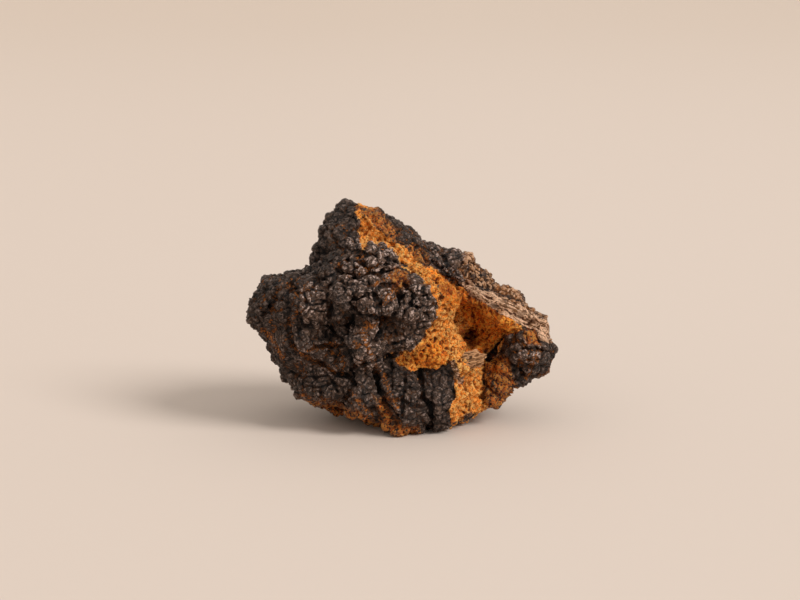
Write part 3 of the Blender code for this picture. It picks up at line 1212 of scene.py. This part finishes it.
def over_slope(tree, settings, parts, colour):
    """The colour with the brown, tan and rusty crumbs of the slope above the ledge laid over it."""
    slope, medium = parts["slope"], parts["medium"]
    umber = product(tree, slope, ramp_node(tree, parts["fold"], 0.25, 0.5, 0.1, 0.9))
    umber = product(tree, umber, ramp_node(tree, medium, 0.36, 0.5))
    brown = mix_node(tree, parts["tone"], shade(settings.rust_colour, 0.1), shade(settings.umber_colour))
    colour = mix_node(tree, umber, colour, brown)
    tan = product(tree, slope, ramp_node(tree, parts["knob"], 0.48, 0.62))
    tan = product(tree, tan, ramp_node(tree, medium, 0.42, 0.52), 0.85)
    dusty, pale = shade(settings.chip_colour), shade(settings.wood_colour, 1.15)
    colour = mix_node(tree, tan, colour, mix_node(tree, parts["small_tone"], dusty, pale))
    rusty = product(tree, slope, ramp_node(tree, parts["broad"], 0.48, 0.6))
    rusty = product(tree, rusty, ramp_node(tree, parts["fine"], 0.4, 0.6), 0.7)
    return mix_node(tree, rusty, colour, shade(settings.rust_colour, 0.8))


def skin_material(settings):
    """Black crust, with cork, wood, brown crust, cracks and painted light and shade where they are stored
    on the skin.
    """
    material, tree, principled = new_material("chaga_skin")
    parts = skin_parts(tree)
    fine, medium = parts["fine"], parts["medium"]
    colour = crust_colour(tree, settings, parts)
    cork = cork_colour(tree, settings, parts)
    wood = wood_colour(tree, settings, parts)

    brown = product(tree, parts["brown"], ramp_node(tree, medium, 0.34, 0.46))
    brown = product(tree, brown, ramp_node(tree, parts["small_tone"], 0.15, 0.3))
    colour = mix_node(tree, brown, colour, tinted(tree, cork, BROWN_TINT))
    colour = over_slope(tree, settings, parts, colour)
    edge = math_node(tree, "ADD", parts["cork"], ramp_node(tree, fine, 0.3, 0.7, -0.25, 0.25))
    colour = mix_node(tree, ramp_node(tree, edge, 0.4, 0.55), colour, cork)
    ragged = math_node(tree, "ADD", parts["wood"], ramp_node(tree, medium, 0.35, 0.65, -0.4, 0.4))
    colour = mix_node(tree, ramp_node(tree, ragged, 0.35, 0.55), colour, wood)
    # Painted shade: the cracks are darkened, near black.
    colour = mix_node(tree, product(tree, parts["crack"], 0.8), colour, shade(settings.crevice_shade_colour, 0.6))
    # Painted shade where the skin lies deep among its blocks.
    deep = ramp_node(tree, parts["block"], 0.42, 0.08, 0.0, 0.6)
    colour = mix_node(tree, deep, colour, tinted(tree, colour, DEEP_SHADE_TINT))
    # Painted shade under the ledge and in the deep hole below it.
    shadow = product(tree, parts["shaded"], ramp_node(tree, medium, 0.62, 0.42, 0.4, 1.0))
    colour = mix_node(tree, shadow, colour, tinted(tree, colour, SHADED_TINT))

    dull = product(tree, math_node(tree, "MAXIMUM", parts["cork"], parts["wood"]), 0.9)
    rough = math_node(tree, "MAXIMUM", ramp_node(tree, medium, 0.3, 0.7, 0.3, 0.55), dull)
    set_surface(tree, principled, colour, roughness=rough, specular=0.32)
    height = math_node(tree, "ADD", parts["facets"], product(tree, parts["small_facets"], 1.4))
    height = math_node(tree, "ADD", height, product(tree, fine, 2.2))
    add_bump(tree, principled, height, strength=1.0, distance=0.5 * MM)
    return material


def chip_material(settings):
    """Brown fibres with pale ones among them, and painted shade in the low spots."""
    material, tree, principled = new_material("chaga_chip")
    along = strand_node(tree, place_node(tree), -CHIP_LEAN, stretch=6.0)
    strands = noise_node(tree, along, CHIP_STRAND_SCALE, detail=3.0)
    pale = ramp_node(tree, strands, 0.38, 0.6)
    colour = mix_node(tree, pale, shade(settings.umber_colour, 0.35), shade(settings.chip_colour))
    # Painted shade in the chip's low spots.
    low = ramp_node(tree, attribute_node(tree, "knob"), 0.45, 0.15)
    colour = mix_node(tree, low, colour, shade(settings.umber_colour, 0.12))
    set_surface(tree, principled, colour, roughness=0.8, specular=0.28)
    add_bump(tree, principled, strands, strength=0.8, distance=0.3 * MM)
    return material


def floor_material(settings):
    """Plain and pale, with a painted shade that makes it a little darker far back and to the left."""
    material, tree, principled = new_material("pale_floor")
    parted = tree.nodes.new("ShaderNodeSeparateXYZ")
    tree.links.new(place_node(tree), parted.inputs["Vector"])
    back = ramp_node(tree, parted.outputs["Y"], 0.1, 2.5)
    left = ramp_node(tree, parted.outputs["X"], 0.12, -0.2)
    # Painted shade: darker far back and to the left.
    colour = tinted(tree, shade(settings.floor_colour), mix_node(tree, back, NO_TINT, BACK_SHADE_TINT))
    colour = tinted(tree, colour, mix_node(tree, left, NO_TINT, LEFT_SHADE_TINT))
    set_surface(tree, principled, colour, roughness=0.9, specular=0.1)
    return material


# Stage

def build_floor(settings):
    """Makes a round floor that curves up into a low wall."""
    profile = [(FLOOR_RADIUS, 0.0)]
    for step in range(1, BEND_STEPS + 1):
        turn = math.pi / 2 * step / BEND_STEPS
        profile.append((FLOOR_RADIUS + BEND_RADIUS * math.sin(turn), BEND_RADIUS * (1 - math.cos(turn))))
    profile.append((FLOOR_RADIUS + BEND_RADIUS, BACKDROP_HEIGHT))

    shape = bmesh.new()
    bmesh.ops.create_circle(shape, cap_ends=True, segments=FLOOR_SEGMENTS, radius=CENTRE_RADIUS)
    rim = list(shape.edges)
    for radius, height in profile:
        grown = bmesh.ops.extrude_edge_only(shape, edges=rim)["geom"]
        rim = [item for item in grown if isinstance(item, bmesh.types.BMEdge) and item.is_boundary]
        for vertex in {vertex for edge in rim for vertex in edge.verts}:
            vertex.co = (*vertex.co.xy.normalized() * radius, height)
    floor = object_of("floor", shape)
    floor.data.materials.append(floor_material(settings))
    floor.data.shade_smooth()
    return floor


def add_lights():
    """Adds the pale sky and a far light that shines from its place to the middle."""
    world = bpy.data.worlds.new("studio")
    world.use_nodes = True
    background = world.node_tree.nodes["Background"]
    background.inputs["Color"].default_value = SKY_COLOUR
    background.inputs["Strength"].default_value = SKY_STRENGTH
    bpy.context.scene.world = world

    light = bpy.data.lights.new("key", "SUN")
    light.energy = KEY_ENERGY
    light.angle = KEY_SPREAD
    light.color = KEY_COLOUR
    made = new_object("key", light)
    made.location = KEY_PLACE
    made.rotation_euler = (-Vector(KEY_PLACE)).to_track_quat("-Z", "Y").to_euler()


def add_camera():
    camera = bpy.data.cameras.new("front")
    camera.lens = LENS
    camera.sensor_width = SENSOR
    made = new_object("front", camera)
    place, back, _ = camera_frame()
    made.location = place
    made.rotation_euler = (-back).to_track_quat("-Z", "Y").to_euler()
    bpy.context.scene.camera = made


# Tools

class CHAGA_OT_build_lump(bpy.types.Operator):
    """Sculpt the lump's skin over its solid"""

    bl_idname = "chaga.build_lump"
    bl_label = "Build Lump"

    def execute(self, context):
        settings = context.scene.chaga
        lump = build_lump(settings)
        lump.data.materials.clear()
        lump.data.materials.append(skin_material(settings))
        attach(lump, BODY)
        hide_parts(NODE)
        return {"FINISHED"}


class CHAGA_OT_build_chip(bpy.types.Operator):
    """Wedge the loose chip of fibres into the lump's hollow"""

    bl_idname = "chaga.build_chip"
    bl_label = "Build Chip"

    def execute(self, context):
        settings = context.scene.chaga
        chip = build_chip(settings)
        chip.data.materials.append(chip_material(settings))
        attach(chip, BODY)
        return {"FINISHED"}


class CHAGA_OT_build_stage(bpy.types.Operator):
    """Add the floor, the lights and the camera"""

    bl_idname = "chaga.build_stage"
    bl_label = "Build Stage"

    def execute(self, context):
        floor = build_floor(context.scene.chaga)
        add_lights()
        add_camera()
        context.scene.view_settings.view_transform = "Standard"
        return {"FINISHED"}


class CHAGA_PT_panel(bpy.types.Panel):
    """The lump's settings and tools"""

    bl_label = "Chaga Lump"
    bl_idname = "CHAGA_PT_panel"
    bl_space_type = "VIEW_3D"
    bl_region_type = "UI"
    bl_category = "Chaga"

    def draw(self, context):
        settings = context.scene.chaga
        for name in settings.bl_rna.properties.keys():
            if name not in ("rna_type", "name"):
                self.layout.prop(settings, name)
        for tool in OPERATORS:
            self.layout.operator(tool.bl_idname)


OPERATORS = (CHAGA_OT_build_lump, CHAGA_OT_build_chip, CHAGA_OT_build_stage)
CLASSES = (ChagaSettings, *OPERATORS, CHAGA_PT_panel)


def register():
    for item in CLASSES:
        bpy.utils.register_class(item)
    bpy.types.Scene.chaga = bpy.props.PointerProperty(type=ChagaSettings)


def unregister():
    del bpy.types.Scene.chaga
    for item in reversed(CLASSES):
        bpy.utils.unregister_class(item)


def main():
    register()
    bpy.ops.chaga.build_lump()
    bpy.ops.chaga.build_chip()
    bpy.ops.chaga.build_stage()


if __name__ == "__main__":
    main()
